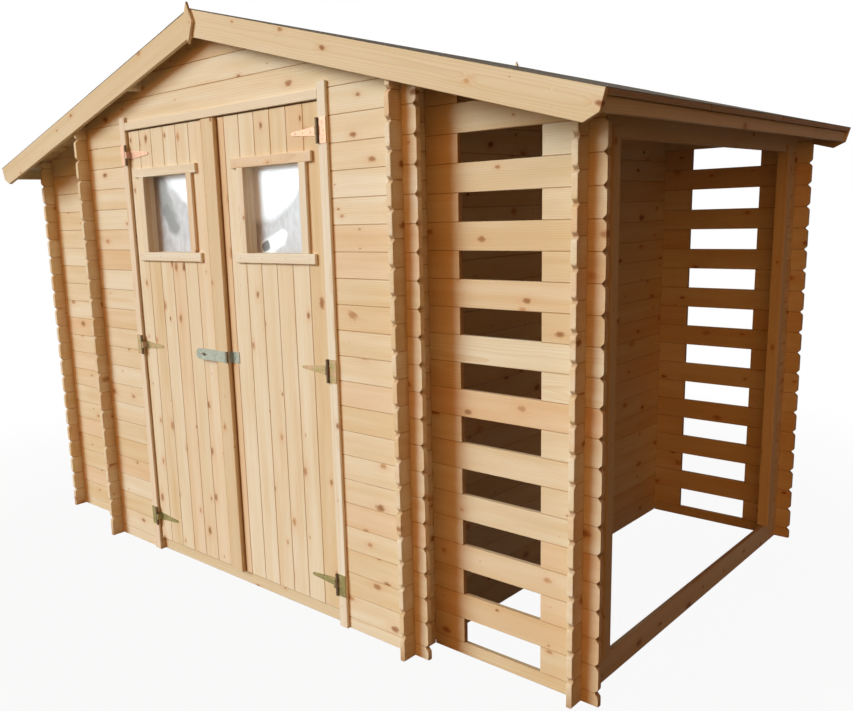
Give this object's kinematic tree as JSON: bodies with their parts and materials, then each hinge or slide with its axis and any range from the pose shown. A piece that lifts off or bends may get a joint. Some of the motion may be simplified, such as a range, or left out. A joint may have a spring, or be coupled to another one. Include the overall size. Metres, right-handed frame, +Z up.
{
  "type": "garden shed with log store",
  "caption": "Garden shed of interlocking log boards with double doors under a low gable roof, and a slatted log store bay that is open at its side.",
  "frame": {"origin": "on the ground under the middle of the building", "axes": "+X along the front towards the log store, +Y from the doors to the back, +Z up; the doors face -Y"},
  "size_m": [3.296, 2.129, 2.254],
  "materials": {
    "log_boards": "planed pine or spruce, untreated",
    "trim_boards": "planed pine or spruce, untreated, paler",
    "door_boards": "planed tongue and groove boards, untreated",
    "felt": "mineral roofing felt, matt",
    "yellow_zinc": "yellow zinc plated steel",
    "galvanised": "galvanised steel",
    "panes": "clear sheet"
  },
  "bodies": {
    "shed": {"front_wall_left": "log_boards", "front_wall_right": "log_boards", "front_gable": "log_boards", "back_wall": "log_boards", "right_wall": "log_boards", "left_returns": "log_boards", "left_header": "log_boards", "left_bay_front": "log_boards", "left_bay_back": "log_boards", "left_bay_wall": "log_boards", "store_front_wall": "log_boards", "store_back_wall": "log_boards", "store_returns": "log_boards", "store_sill": "log_boards", "store_header": "log_boards", "store_posts": "trim_boards", "roof_panels_left": "log_boards", "roof_panels_right": "log_boards", "roof_felt": "felt", "roof_purlins": "log_boards", "bargeboards_left": "trim_boards", "bargeboards_right": "trim_boards", "finials": "trim_boards", "eave_boards": "log_boards", "door_jambs": "trim_boards", "door_header": "trim_boards", "threshold": "trim_boards", "floor_boards": "log_boards", "floor_bearers": "log_boards", "hinge_plates": "yellow_zinc"},
    "left_door": {"left_leaf": "door_boards", "left_ledges": "door_boards", "left_window_frame": "trim_boards", "left_pane": "panes", "left_straps": "yellow_zinc", "cover_strip": "trim_boards", "hasp": "galvanised"},
    "right_door": {"right_leaf": "door_boards", "right_ledges": "door_boards", "right_window_frame": "trim_boards", "right_pane": "panes", "right_straps": "yellow_zinc", "staple": "galvanised"}
  },
  "joints": [
    {"name": "left_door_hinge", "type": "hinge", "parent": "shed", "child": "left_door", "pos_m": [-0.584, -1.001, 0.955], "axis": [0, 0, -1], "range_deg": [0, 165]},
    {"name": "right_door_hinge", "type": "hinge", "parent": "shed", "child": "right_door", "pos_m": [0.584, -1.001, 0.955], "axis": [0, 0, 1], "range_deg": [0, 165]}
  ]
}
